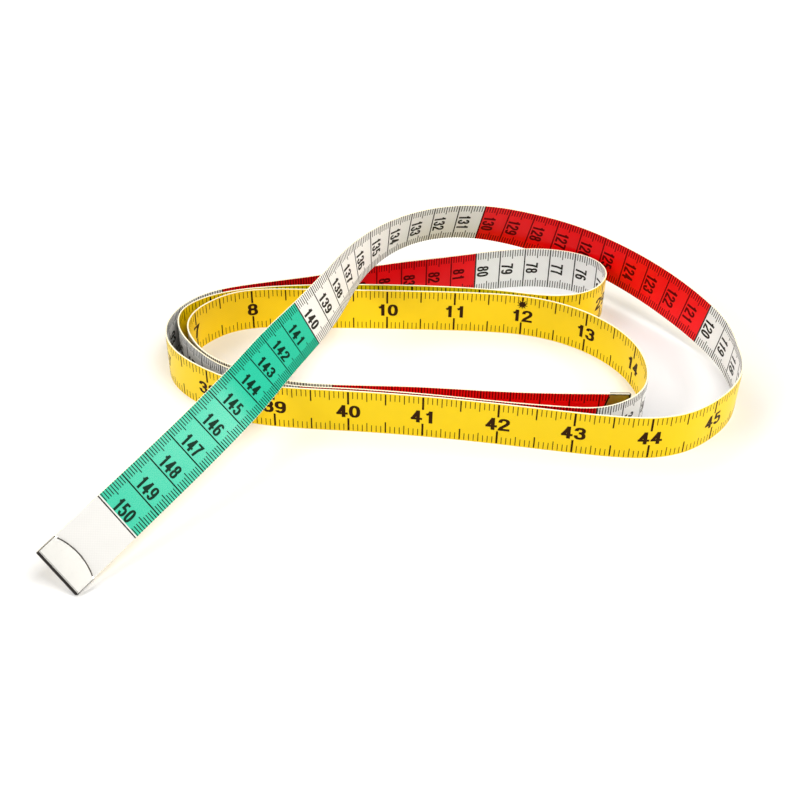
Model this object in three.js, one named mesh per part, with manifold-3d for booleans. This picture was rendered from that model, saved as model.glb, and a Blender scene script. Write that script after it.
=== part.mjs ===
// A cloth tape measure left in a loose coil. The strip stands on its edge and goes round two and a half times,
// doubles back in a hairpin behind the coil, goes round the outside, then climbs from the right end, arches over
// the back and leans down across the front to its far end clip, whose lower corner rests on the floor.
// The strip is a laminate: a woven cloth core, a plastic coat for the inch scale on one face and, on the other
// face, the coat for the centimetre scale, printed in panels of alternating colour. A folded metal clip grips
// each end. Millimetres, +Z up, origin on the floor in the middle of the whole part's outline.

import * as THREE from "three";
import { mergeVertices } from "three/addons/utils/BufferGeometryUtils.js";
import Module from "manifold-3d";

// Strip sizes
const panelLength = 100; // one colour panel holds ten centimetres
const panelCount = 15;
const leaderLength = 24; // bare end beyond the last printed line, which makes up 60 inches
const tapeWidth = 17.5;
const clothThickness = 0.24;
const coatThickness = 0.12;
const bondLine = 0.02; // between the cloth and each coat
const edgeTrim = 0.15; // the cloth and the inch coat stop this far inside the edges of the centimetre coat
const panelSeam = 0.1; // between neighbouring panels
const flexSlot = 0.3; // between two stretches of the strip at a flex line
const crossingClearance = 1; // between the standing runs and the stretch that passes over them
const ringStep = 5.3; // most between cross-sections of the strip

// End clip sizes
const clipSheet = 0.3; // metal thickness
const clipDepth = 6.6; // reach from the end of the tape, at the tape's edges
const clipCrown = 1.9; // further reach of the arched inner edge at the middle
const clipSeat = 0.05; // between the clip and the coats
const clipStop = 0.25; // between the tape's cut end and the inside of the fold
const clipCorner = 0.6; // rounding of the folded end's corners
const clipRun = 1.5; // straight strip beyond the clip

// Derived sizes
const tapeLength = panelCount * panelLength + leaderLength;
const halfStack = clothThickness / 2 + bondLine + coatThickness;
const crossingHeight = tapeWidth + crossingClearance;
const straightEnd = clipDepth + clipCrown + clipRun;

// Route of the strip's middle line from the zero end, chosen by hand. A standing point is [x, y]. A point of the
// free stretch is [x, y, lift, lean]: lift is the height of the lower edge as a share of the crossing height, and
// lean is in degrees from upright, towards the right-hand side of the way along the strip.
const startRunAndInnerLeftEnd = [
  [68.2, -8], [48, -8.3], [23.9, -7.8], [-4, -6.1], [-30.8, -5.7], [-47.8, -3.8], [-59.2, 0.5], [-68.2, 4.7],
  [-75.9, 10.2], [-82.3, 18.6], [-85.6, 27.8], [-84.4, 35.9], [-79.5, 43], [-72.3, 48.5], [-62.8, 51.4],
];
const innerBackRun = [[-47.8, 52.1], [-23.9, 52.2], [0, 52.1], [23.9, 51.4]];
const innerRightEndAndSecondFrontRun = [
  [40.9, 48.9], [52.5, 44.2], [61.7, 37.8], [69.4, 29.3], [74.8, 18.4], [76.2, 5.9], [73.5, -4.4],
  [66.7, -11.5], [57.8, -15.4], [45.8, -15.6], [27.8, -13.8], [8, -11.2], [-11.9, -8.9], [-31.9, -7.5],
];
const middleLeftEnd = [
  [-48.7, -5.7], [-60.6, -0.9], [-70.4, 4], [-78.3, 10.8], [-84.9, 19.1], [-89, 28.1], [-88.9, 37.1],
  [-83.3, 44.4], [-74.5, 49.4],
];
const secondBackRunAndHairpin = [
  [-61.7, 52.9], [-43.8, 55.1], [-14.9, 56.1], [10, 55.4], [33, 52.9], [45.9, 51], [54.7, 51.8], [61.9, 55],
  [67.1, 60.9], [69.2, 68.3], [66.7, 75.5], [60.4, 80.3], [51.6, 83.1], [39.9, 83.6],
];
const outerBackRunAndOuterLeftEnd = [
  [26, 81.2], [6, 76.1], [-16.3, 70.3], [-36.6, 63.3], [-54.3, 58.2], [-67.1, 54.6], [-77.8, 50.5],
  [-85.9, 44.5], [-91.2, 36.3], [-93.1, 26.9], [-90, 15.7], [-82.9, 7.2], [-74.1, 0.7],
];
const outerFrontRunAndOuterRightEnd = [
  [-62.8, -4.9], [-48.8, -7.6], [-27.9, -9], [-4, -11], [19.9, -14], [43.9, -17.7], [61.8, -20.1],
  [75.6, -20.4], [87.1, -17.3], [97, -10.5], [105.1, -1.4], [109.9, 9.8], [110.4, 20.8],
];
const archAndTail = [
  [108, 32.2, 0.08, 5], [100.9, 45, 0.2, 8.5], [89.2, 59, 0.35, 8.5], [74.8, 72.8, 0.47, 4.5],
  [58.3, 83, 0.61, -1], [40.8, 86.7, 0.81, -8], [20.9, 85.7, 1.05, -14], [1, 80.2, 1.15, -16.5],
  [-14.7, 69.3, 1.12, -9], [-26.4, 53.2, 1.05, 7], [-33.4, 35.1, 1.06, 20.5], [-41.8, 17.1, 1.03, 31],
  [-51, -1, 1.03, 40.5], [-58.9, -18.2, 1.01, 44.5], [-70.1, -35.4, 0.81, 45], [-81.7, -51, 0.57, 42.5],
  [-93.6, -66.5, 0.33, 40.5], [-108.5, -85, 0.01, 38.5],
];
const route = [
  ...startRunAndInnerLeftEnd,
  ...innerBackRun,
  ...innerRightEndAndSecondFrontRun,
  ...middleLeftEnd,
  ...secondBackRunAndHairpin,
  ...outerBackRunAndOuterLeftEnd,
  ...outerFrontRunAndOuterRightEnd,
  ...archAndTail,
];

// Materials
const yellow = new THREE.MeshStandardMaterial({ color: 0xf7c21a, roughness: 0.45, metalness: 0 });
const white = new THREE.MeshStandardMaterial({ color: 0xf6f3ec, roughness: 0.45, metalness: 0 });
const red = new THREE.MeshStandardMaterial({ color: 0xc41a24, roughness: 0.45, metalness: 0 });
const green = new THREE.MeshStandardMaterial({ color: 0x2fc795, roughness: 0.45, metalness: 0 });
const cloth = new THREE.MeshStandardMaterial({ color: 0xefe6cc, roughness: 0.8, metalness: 0 });
const clipMetal = new THREE.MeshStandardMaterial({ color: 0xe4e3df, roughness: 0.25, metalness: 1 });
const panelColours = [red, white, green, white];

// Middle line of the strip

// Bends of a natural cubic spline: the second derivative of the values at each knot.
function splineBends(knots, values) {
  const last = knots.length - 1;
  const bends = new Array(last + 1).fill(0);
  const upper = new Array(last + 1).fill(0);
  for (let i = 1; i < last; i++) {
    const before = knots[i] - knots[i - 1];
    const after = knots[i + 1] - knots[i];
    const pull = 6 * ((values[i + 1] - values[i]) / after - (values[i] - values[i - 1]) / before);
    const pivot = 2 * (before + after) - before * upper[i - 1];
    upper[i] = after / pivot;
    bends[i] = (pull - before * bends[i - 1]) / pivot;
  }
  for (let i = last - 1; i > 0; i--) bends[i] -= upper[i] * bends[i + 1];
  return bends;
}

// Middle of the strip over a point of the floor, from the height of its lower edge, which never sinks in the floor
function middleHeight(lowerEdge, lean) {
  return Math.max(0, lowerEdge) + (tapeWidth / 2) * Math.cos(THREE.MathUtils.degToRad(lean));
}

// The route as a smooth curve that takes a distance along the strip and gives the middle point and the lean. Its plan
// is drawn at the given scale.
function smoothRoute(points, scale) {
  const rows = points.map(([x, y, lift = 0, lean = 0]) => [x * scale, y * scale, lift * crossingHeight, lean]);
  const knots = [0];
  for (let i = 1; i < rows.length; i++) {
    const [a, b] = [rows[i - 1], rows[i]];
    knots.push(knots[i - 1] + Math.hypot(b[0] - a[0], b[1] - a[1], b[2] - a[2]));
  }
  const channels = [0, 1, 2, 3].map((k) => rows.map((row) => row[k]));
  const bends = channels.map((values) => splineBends(knots, values));
  const valueAt = (u, i) => {
    const span = knots[i + 1] - knots[i];
    const a = (knots[i + 1] - u) / span;
    const b = (u - knots[i]) / span;
    const swell = (span * span) / 6;
    const [x, y, lowerEdge, lean] = channels.map(
      (v, k) =>
        a * v[i] + b * v[i + 1] + ((a ** 3 - a) * bends[k][i] + (b ** 3 - b) * bends[k][i + 1]) * swell,
    );
    return [x, y, middleHeight(lowerEdge, lean), lean];
  };
  // Fine samples of the curve, each with its distance along it
  const samplesPerSpan = 60;
  const samples = [{ length: 0, value: valueAt(0, 0) }];
  for (let i = 0; i + 1 < knots.length; i++) {
    for (let j = 1; j <= samplesPerSpan; j++) {
      const value = valueAt(knots[i] + ((knots[i + 1] - knots[i]) * j) / samplesPerSpan, i);
      const from = samples[samples.length - 1];
      const run = Math.hypot(...[0, 1, 2].map((k) => value[k] - from.value[k]));
      samples.push({ length: from.length + run, value });
    }
  }
  const at = (distance) => {
    let low = 0;
    let high = samples.length - 1;
    while (high - low > 1) {
      const middle = (low + high) >> 1;
      if (samples[middle].length > distance) high = middle;
      else low = middle;
    }
    const [a, b] = [samples[low], samples[high]];
    const share = (distance - a.length) / (b.length - a.length);
    return a.value.map((v, k) => v + (b.value[k] - v) * share);
  };
  return { at, length: samples[samples.length - 1].length };
}

// The loops grow or shrink in plan until the route is as long as the tape.
function fittedRoute() {
  const rounds = 4;
  let scale = 1;
  for (let i = 0; i < rounds; i++) scale *= tapeLength / smoothRoute(route, scale).length;
  return smoothRoute(route, scale);
}

const curve = fittedRoute();

// Cross-section of the strip: its middle, the way along it, the way across it from the lower to the upper edge, and
// the normal of its inch face. Within the straight ends it carries on in a straight line.
function curvedSection(distance) {
  const tangentStep = 0.5;
  const [x, y, z, lean] = curve.at(distance);
  const ahead = curve.at(distance + tangentStep);
  const behind = curve.at(distance - tangentStep);
  const along = new THREE.Vector3(...[0, 1, 2].map((k) => ahead[k] - behind[k])).normalize();
  const side = new THREE.Vector3().crossVectors(along, new THREE.Vector3(0, 0, 1)).normalize();
  const across = new THREE.Vector3().crossVectors(side, along);
  across.applyAxisAngle(along, THREE.MathUtils.degToRad(lean));
  const inchNormal = new THREE.Vector3().crossVectors(along, across);
  return { middle: new THREE.Vector3(x, y, z), along, across, inchNormal };
}

function sectionAt(distance) {
  const held = Math.min(Math.max(distance, straightEnd), tapeLength - straightEnd);
  const section = curvedSection(held);
  section.middle.addScaledVector(section.along, distance - held);
  return section;
}

// Rings, evenly spaced within each panel and within the leader, so that every cut falls on one
const rings = [];
function addRings(from, to) {
  const steps = Math.ceil((to - from) / ringStep);
  for (let j = 0; j < steps; j++) {
    const distance = from + ((to - from) * j) / steps;
    rings.push({ distance, ...sectionAt(distance) });
  }
}
for (let i = 0; i < panelCount; i++) addRings(i * panelLength, (i + 1) * panelLength);
addRings(panelCount * panelLength, tapeLength);
rings.push({ distance: tapeLength, ...sectionAt(tapeLength) });

// A cross-section between two rings lies on the straight facets between them, so that all layers share one form.
function facetSection(distance) {
  const i = Math.max(1, rings.findIndex((ring) => ring.distance >= distance));
  const [a, b] = [rings[i - 1], rings[i]];
  const share = (distance - a.distance) / (b.distance - a.distance);
  const section = { distance };
  for (const key of ["middle", "along", "across", "inchNormal"]) section[key] = a[key].clone().lerp(b[key], share);
  return section;
}

// Layers of the strip

// One layer as a closed band: from one distance to another along the strip, between two heights over its middle
// surface, the inch face being the higher side, and as wide as given.
function layerBand(from, to, low, high, width) {
  const inside = rings.filter((ring) => ring.distance > from && ring.distance < to);
  const sections = [facetSection(from), ...inside, facetSection(to)];
  const corners = [
    [-width / 2, low],
    [width / 2, low],
    [width / 2, high],
    [-width / 2, high],
  ];
  const positions = [];
  for (const { middle, across, inchNormal } of sections) {
    for (const [sideways, height] of corners) {
      const point = middle.clone().addScaledVector(across, sideways).addScaledVector(inchNormal, height);
      positions.push(point.x, point.y, point.z);
    }
  }
  const faces = [0, 2, 1, 0, 3, 2];
  for (let i = 0; i + 1 < sections.length; i++) {
    const [here, next] = [4 * i, 4 * i + 4];
    for (let p = 0; p < 4; p++) {
      const q = (p + 1) % 4;
      // Both wide faces of a layer are split along the same diagonal, so twisted layers stay parallel.
      if (p === 2) faces.push(here + p, here + q, next + p, here + q, next + q, next + p);
      else faces.push(here + p, here + q, next + q, here + p, next + q, next + p);
    }
  }
  const end = 4 * (sections.length - 1);
  faces.push(end, end + 1, end + 2, end, end + 2, end + 3);
  const geometry = new THREE.BufferGeometry();
  geometry.setAttribute("position", new THREE.Float32BufferAttribute(positions, 3));
  geometry.setIndex(faces);
  geometry.computeVertexNormals();
  return geometry;
}

function named(name, geometry, material) {
  const mesh = new THREE.Mesh(geometry, material);
  mesh.name = name;
  return mesh;
}

const startLine = panelLength; // flex line of the start run
const archLine = (panelCount - 2) * panelLength; // flex line at the top of the arch
const tailLine = (panelCount - 1) * panelLength; // flex line of the tail
const tipLine = panelCount * panelLength; // flex line of the bare tip
const stretches = [
  { name: "start", from: 0, to: startLine - flexSlot / 2 },
  { name: "coil", from: startLine + flexSlot / 2, to: archLine - flexSlot / 2 },
  { name: "arch", from: archLine + flexSlot / 2, to: tailLine - flexSlot / 2 },
  { name: "tail", from: tailLine + flexSlot / 2, to: tipLine - flexSlot / 2 },
  { name: "tip", from: tipLine + flexSlot / 2, to: tapeLength },
];

// Woven cloth and inch coat of one stretch
function backedStretch({ name, from, to }) {
  const group = new THREE.Group();
  const width = tapeWidth - 2 * edgeTrim;
  const clothTop = clothThickness / 2;
  group.add(named(`cloth_${name}`, layerBand(from, to, -clothTop, clothTop, width), cloth));
  group.add(named(`inch_coat_${name}`, layerBand(from, to, clothTop + bondLine, halfStack, width), yellow));
  return group;
}

// Centimetre coat: one panel for each ten centimetres, then the bare white leader
function centimetreCoat() {
  const group = new THREE.Group();
  const seat = -clothThickness / 2 - bondLine;
  const flexLines = [startLine, archLine, tailLine, tipLine];
  const cutAt = (distance) => (flexLines.includes(distance) ? flexSlot : panelSeam) / 2;
  for (let i = 0; i < panelCount; i++) {
    const [first, last] = [i * panelLength, (i + 1) * panelLength];
    const from = i === 0 ? 0 : first + cutAt(first);
    const band = layerBand(from, last - cutAt(last), -halfStack, seat, tapeWidth);
    group.add(named(`cm_panel_${String(i + 1).padStart(2, "0")}`, band, panelColours[i % panelColours.length]));
  }
  const leader = layerBand(tipLine + cutAt(tipLine), tapeLength, -halfStack, seat, tapeWidth);
  group.add(named("cm_leader", leader, white));
  return group;
}

// End clips

const wasm = await Module();
wasm.setup();

function solidOf(geometry) {
  const bare = geometry.clone();
  bare.deleteAttribute("normal");
  bare.deleteAttribute("uv");
  const merged = mergeVertices(bare, 1e-4);
  return new wasm.Manifold(
    new wasm.Mesh({
      numProp: 3,
      vertProperties: new Float32Array(merged.attributes.position.array),
      triVerts: new Uint32Array(merged.index.array),
    }),
  );
}

function geometryOf(solid) {
  const mesh = solid.getMesh();
  const geometry = new THREE.BufferGeometry();
  geometry.setAttribute("position", new THREE.Float32BufferAttribute(mesh.vertProperties, 3));
  geometry.setIndex(Array.from(mesh.triVerts));
  geometry.computeVertexNormals();
  return geometry;
}

// A strip of sheet metal folded over the end of the tape. X runs from the cut end into the tape, Y across the tape
// and Z out of its face. The folded profile is cut to an outline with an arched inner edge.
function clipGeometry() {
  const inner = halfStack + clipSeat;
  const outer = inner + clipSheet;
  const foldCentre = inner - clipStop;
  const reach = clipDepth + clipCrown;
  const quarter = Math.PI / 2;

  const profile = new THREE.Shape();
  profile.moveTo(reach, outer);
  profile.lineTo(foldCentre, outer);
  profile.absarc(foldCentre, 0, outer, quarter, -quarter, false);
  profile.lineTo(reach, -outer);
  profile.lineTo(reach, -inner);
  profile.lineTo(foldCentre, -inner);
  profile.absarc(foldCentre, 0, inner, -quarter, quarter, true);
  profile.lineTo(reach, inner);
  profile.closePath();
  const folded = new THREE.ExtrudeGeometry(profile, { depth: tapeWidth, bevelEnabled: false, curveSegments: 6 });
  folded.rotateX(quarter);
  folded.translate(0, tapeWidth / 2, 0);

  const half = tapeWidth / 2;
  const archRadius = (half * half + clipCrown * clipCrown) / (2 * clipCrown);
  const archCentre = reach - archRadius;
  const archAngle = Math.asin(half / archRadius);
  const foldEnd = foldCentre - outer;
  const outline = new THREE.Shape();
  outline.moveTo(foldEnd + clipCorner, -half);
  outline.lineTo(clipDepth, -half);
  outline.absarc(archCentre, 0, archRadius, -archAngle, archAngle, false);
  outline.lineTo(foldEnd + clipCorner, half);
  outline.absarc(foldEnd + clipCorner, half - clipCorner, clipCorner, quarter, 2 * quarter, false);
  outline.lineTo(foldEnd, clipCorner - half);
  outline.absarc(foldEnd + clipCorner, clipCorner - half, clipCorner, 2 * quarter, 3 * quarter, false);
  const cutter = new THREE.ExtrudeGeometry(outline, { depth: 4 * outer, bevelEnabled: false, curveSegments: 8 });
  cutter.translate(0, 0, -2 * outer);

  return geometryOf(solidOf(folded).intersect(solidOf(cutter)));
}

// A clip placed on one end of the tape: inward is 1 where the tape runs away from that end along the strip.
function endClip(name, distance, inward) {
  const { middle, along, across, inchNormal } = sectionAt(distance);
  const clip = named(name, clipGeometry(), clipMetal);
  const turn = new THREE.Matrix4().makeBasis(
    along.clone().multiplyScalar(inward),
    across,
    inchNormal.clone().multiplyScalar(inward),
  );
  clip.quaternion.setFromRotationMatrix(turn);
  clip.position.copy(middle);
  return clip;
}

// Least gap of the strip to itself, measured on points of its middle surface
function leastGap() {
  const pointStep = 1;
  const apart = 25; // points nearer than this along the strip are neighbours, not another run
  const shares = [-0.5, -0.25, 0, 0.25, 0.5];
  const points = [];
  for (let distance = 0; distance <= tapeLength; distance += pointStep) {
    const { middle, across } = sectionAt(distance);
    for (const share of shares) {
      points.push({ distance, at: middle.clone().addScaledVector(across, share * tapeWidth) });
    }
  }
  const reach = 5;
  const cells = new Map();
  const cellOf = (p, dx = 0, dy = 0, dz = 0) =>
    `${Math.floor(p.x / reach) + dx},${Math.floor(p.y / reach) + dy},${Math.floor(p.z / reach) + dz}`;
  for (const point of points) {
    const key = cellOf(point.at);
    if (!cells.has(key)) cells.set(key, []);
    cells.get(key).push(point);
  }
  let least = Infinity;
  const near = [-1, 0, 1];
  for (const point of points) {
    for (const dx of near) for (const dy of near) for (const dz of near) {
      for (const other of cells.get(cellOf(point.at, dx, dy, dz)) ?? []) {
        if (Math.abs(other.distance - point.distance) < apart) continue;
        least = Math.min(least, point.at.distanceTo(other.at));
      }
    }
  }
  return least - 2 * halfStack;
}

// The whole tape

const tape = new THREE.Group();
for (const stretch of stretches) tape.add(backedStretch(stretch));
tape.add(centimetreCoat());
tape.add(endClip("start_clip", 0, 1));
tape.add(endClip("end_clip", tapeLength, -1));

const outlineBox = new THREE.Box3().setFromObject(tape, true);
const boxMiddle = outlineBox.getCenter(new THREE.Vector3());
tape.position.set(-boxMiddle.x, -boxMiddle.y, -outlineBox.min.z);

const part = new THREE.Group();
part.add(tape);

const boxSize = outlineBox.getSize(new THREE.Vector3());
console.log(`route ${curve.length.toFixed(1)} mm for a tape of ${tapeLength} mm, in ${panelCount} panels`);
console.log(`outline ${boxSize.toArray().map((v) => v.toFixed(1)).join(" x ")} mm`);
console.log(`least gap of the strip to itself ${leastGap().toFixed(2)} mm`);

export default part;
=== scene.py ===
"""Looks for a cloth tape measure left in a loose coil: a coated strip, printed in centimetres on one face
and in inches on the other, with a folded metal clip on each end.

Sizes are in millimetres up to the point where a mesh is made, which is in metres.
"""

import math
from typing import NamedTuple

import bmesh
import bpy
import numpy as np
from mathutils import Matrix, Vector
from mathutils.geometry import delaunay_2d_cdt


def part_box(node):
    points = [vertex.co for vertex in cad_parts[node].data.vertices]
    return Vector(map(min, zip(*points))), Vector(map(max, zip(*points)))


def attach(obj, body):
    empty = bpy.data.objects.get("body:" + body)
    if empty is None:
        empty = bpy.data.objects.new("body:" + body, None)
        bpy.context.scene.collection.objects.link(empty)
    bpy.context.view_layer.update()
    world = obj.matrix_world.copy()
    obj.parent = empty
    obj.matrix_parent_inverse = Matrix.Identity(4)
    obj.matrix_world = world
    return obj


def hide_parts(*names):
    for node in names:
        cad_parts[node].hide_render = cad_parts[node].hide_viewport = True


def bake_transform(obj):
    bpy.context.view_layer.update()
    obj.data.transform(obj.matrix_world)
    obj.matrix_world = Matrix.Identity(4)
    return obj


MM = 0.001

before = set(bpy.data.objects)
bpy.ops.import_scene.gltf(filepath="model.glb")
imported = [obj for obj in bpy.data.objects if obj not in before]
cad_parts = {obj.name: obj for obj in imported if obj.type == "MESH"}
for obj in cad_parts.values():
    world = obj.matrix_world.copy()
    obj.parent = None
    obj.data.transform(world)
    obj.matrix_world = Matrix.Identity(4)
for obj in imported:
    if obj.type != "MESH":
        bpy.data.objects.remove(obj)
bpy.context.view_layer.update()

# Strip sizes
TAPE_LENGTH = 1524
TAPE_WIDTH = 17.5
HALF_WIDTH = TAPE_WIDTH / 2
HALF_STACK = 0.26  # half the thickness of the cloth with both coats
COAT_SEAT = 0.14  # from the middle of the cloth to the underside of a coat
EDGE_ROUND = 0.12
CENTIMETRE = 10
PANEL_LENGTH = 100
PANEL_RINGS = 19  # facets along one panel of the plain solid
PANEL_SEAM = 0.1
PLACED_PANEL = 8  # the panel whose solid gives the part's place
LAST_LINE = 1500
LAST_COLOUR_GAP = 0.65  # white before the last line, in the leader's coat with its painted shade
STRAIGHT_END = 10
CROSSING_HEIGHT = 18.5  # of the lower edge, where the strip crosses over its own runs
TAPE_SHARP = 30  # degrees, above which an edge of the strip stays sharp

# Clip sizes
CLIP_SHEET = 0.3
CLIP_DEPTH = 6.6
CLIP_CROWN = 1.9
CLIP_SEAT = 0.05
CLIP_STOP = 0.25
CLIP_CORNER = 0.5
CLIP_CORNER_POWER = 12  # how closely the rounded corners keep to the sides
CLIP_ROUNDING = 0.09
CLIP_PLATE = HALF_STACK + CLIP_SEAT + CLIP_SHEET / 2  # from the tape's middle to the middle of a plate
CLIP_FOLD = HALF_STACK + CLIP_SEAT - CLIP_STOP  # from the tape's end, inward, to the centre of the bend
CLIP_FOLD_BANDS = (0.2, 0.36, 0.5)  # from the fold: a band of painted shade, a plain light line, a line of painted shade
CLIP_SIDE_LINE = 0.2  # width of the painted shade line along the cut sides
CLIP_LINE_END = 0.7  # from the tape's edges to the ends of the painted shade line on the arched edge
CLIP_LINE = 0.45  # width of the painted shade line along the arched edge
CLIP_COLUMNS = 28
CLIP_PLATE_STEPS = 8
CLIP_BEND_STEPS = 12
CLIP_SHARP = 35  # degrees, above which an edge of the clip stays sharp
CLIP_ROUNDED = 40  # degrees, above which an edge is rounded

# Print sizes
INK_RISE = 0.02
INK_SINK = 0.01
MARK_INSET = 0.08  # between the strip's edge and the centimetre marks
MM_TICK = (3.1, 0.32)  # length and width
HALF_CM_TICK = (4.1, 0.34)
CM_LINE = 0.48
TEN_LINE = 0.6
LAST_LINE_WIDTH = 0.42
CM_DIGIT_PLACE = 0.69  # share of the way through its centimetre
INCH = 25.4
INCH_PARTS = 16
FOOT = 12  # inches from one star to the next
INCH_INSET = 0.45
INCH_START = -1.5  # place of the inch scale's zero along the strip
INCH_TICKS = {16: (2.8, 0.26), 8: (2.8, 0.26), 4: (3.7, 0.3), 2: (4.6, 0.48), 1: (5.3, 0.7)}
STAR_RADIUS = 2.2
STAR_NOTCH = 0.5  # share of the radius between two points
STAR_POINTS = 10
STAR_DROP = 3.65  # from the strip's upper edge to the middle of the star
STAR_TICK = 0.7  # share of the radius, above the star's middle, where the line over it ends


class DigitStyle(NamedTuple):
    """Sizes of one face's digits. along is the digit's own axis that lies along the strip."""

    width: float
    height: float
    pitch: float
    stem: float  # width of upright strokes
    bar: float  # width of level strokes
    along: str


DIGIT_STYLES = {
    "cm": DigitStyle(width=2.3, height=4.7, pitch=2.55, stem=0.86, bar=0.72, along="y"),
    "inch": DigitStyle(width=3.9, height=5.2, pitch=4.3, stem=1.28, bar=0.92, along="x"),
}
DIGIT_BAND = 1.0  # width of the bands that a digit is cut in, to follow the strip's bends
ARC_FULLNESS = 0.85  # 1 is an ellipse, less is squarer
ARC_STEP = 15  # degrees
MITRE_LIMIT = 2.0
JOIN_DISTANCE = 1e-4  # within which corners of a digit's strokes are one
CUT_DISTANCE = 1e-5  # within which a corner lies on a cut
FLAT_ANGLE = 0.01  # radians, below which neighbouring faces of a digit are joined

# Route of the strip's middle line from the zero end. A standing point is (x, y). A point of the free
# stretch is (x, y, lift, lean): lift is the height of the lower edge as a share of the crossing height,
# and lean is in degrees.
START_RUN_AND_INNER_LEFT_END = [
    (68.2, -8), (48, -8.3), (23.9, -7.8), (-4, -6.1), (-30.8, -5.7), (-47.8, -3.8), (-59.2, 0.5),
    (-68.2, 4.7), (-75.9, 10.2), (-82.3, 18.6), (-85.6, 27.8), (-84.4, 35.9), (-79.5, 43), (-72.3, 48.5),
    (-62.8, 51.4),
]
INNER_BACK_RUN = [(-47.8, 52.1), (-23.9, 52.2), (0, 52.1), (23.9, 51.4)]
INNER_RIGHT_END_AND_SECOND_FRONT_RUN = [
    (40.9, 48.9), (52.5, 44.2), (61.7, 37.8), (69.4, 29.3), (74.8, 18.4), (76.2, 5.9), (73.5, -4.4),
    (66.7, -11.5), (57.8, -15.4), (45.8, -15.6), (27.8, -13.8), (8, -11.2), (-11.9, -8.9), (-31.9, -7.5),
]
MIDDLE_LEFT_END = [
    (-48.7, -5.7), (-60.6, -0.9), (-70.4, 4), (-78.3, 10.8), (-84.9, 19.1), (-89, 28.1), (-88.9, 37.1),
    (-83.3, 44.4), (-74.5, 49.4),
]
SECOND_BACK_RUN_AND_HAIRPIN = [
    (-61.7, 52.9), (-43.8, 55.1), (-14.9, 56.1), (10, 55.4), (33, 52.9), (45.9, 51), (54.7, 51.8),
    (61.9, 55), (67.1, 60.9), (69.2, 68.3), (66.7, 75.5), (60.4, 80.3), (51.6, 83.1), (39.9, 83.6),
]
OUTER_BACK_RUN_AND_OUTER_LEFT_END = [
    (26, 81.2), (6, 76.1), (-16.3, 70.3), (-36.6, 63.3), (-54.3, 58.2), (-67.1, 54.6), (-77.8, 50.5),
    (-85.9, 44.5), (-91.2, 36.3), (-93.1, 26.9), (-90, 15.7), (-82.9, 7.2), (-74.1, 0.7),
]
OUTER_FRONT_RUN_AND_OUTER_RIGHT_END = [
    (-62.8, -4.9), (-48.8, -7.6), (-27.9, -9), (-4, -11), (19.9, -14), (43.9, -17.7), (61.8, -20.1),
    (75.6, -20.4), (87.1, -17.3), (97, -10.5), (105.1, -1.4), (109.9, 9.8), (110.4, 20.8),
]
ARCH_AND_TAIL = [
    (108, 32.2, 0.08, 5), (100.9, 45, 0.2, 8.5), (89.2, 59, 0.35, 8.5), (74.8, 72.8, 0.47, 4.5),
    (58.3, 83, 0.61, -1), (40.8, 86.7, 0.81, -8), (20.9, 85.7, 1.05, -14), (1, 80.2, 1.15, -16.5),
    (-14.7, 69.3, 1.12, -9), (-26.4, 53.2, 1.05, 7), (-33.4, 35.1, 1.06, 20.5), (-41.8, 17.1, 1.03, 31),
    (-51, -1, 1.03, 40.5), (-58.9, -18.2, 1.01, 44.5), (-70.1, -35.4, 0.81, 45), (-81.7, -51, 0.57, 42.5),
    (-93.6, -66.5, 0.33, 40.5), (-108.5, -85, 0.01, 38.5),
]
ROUTE = [
    *START_RUN_AND_INNER_LEFT_END,
    *INNER_BACK_RUN,
    *INNER_RIGHT_END_AND_SECOND_FRONT_RUN,
    *MIDDLE_LEFT_END,
    *SECOND_BACK_RUN_AND_HAIRPIN,
    *OUTER_BACK_RUN_AND_OUTER_LEFT_END,
    *OUTER_FRONT_RUN_AND_OUTER_RIGHT_END,
    *ARCH_AND_TAIL,
]
ROUTE_SAMPLES = 20001
LENGTH_PASSES = 4  # rounds of scaling the plan until the strip has its length
TANGENT_STEP = 0.5

# Camera, its place in the route's frame
CAMERA_PLACE = np.array([-9, -338, 274.876])
CAMERA_PITCH = math.radians(38.432)
CAMERA_ROLL = math.radians(1.016)
FOCAL_PIXELS = 1245.441
IMAGE_PIXELS = 800
SENSOR = 36

# Surface detail, at scales per centimetre of the strip
THREAD_PITCH = 0.05  # centimetres from one thread of the cloth to the next
MOTTLE_SCALE = 2.3
GRAIN_SCALE = 46.0
FRAY_SCALE = 30.0
WEAR_SCALE = 18.0
WEAVE_RELIEF = (0.00003, 0.35)  # depth in metres and strength
EDGE_RELIEF = (0.00004, 0.5)
BRUSH_RELIEF = (0.00001, 0.15)
BRUSH_SCALE = (900, 900, 9000)  # per metre, finest along z
GRAIN_SPREAD = 0.07  # of a coat's roughness, to each side
WEAVE_WEIGHT = 0.5  # share of the weave in a coat's change of tone
MOTTLE_WEIGHT = 0.6  # share of the mottle in it
COAT_DARK = 0.9  # darkest tone as a share of the colour
METAL_DARK = 0.92
INK_FRESH = 0.6
INK_WORN = 1.4  # palest tone as a share of the colour

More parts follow.
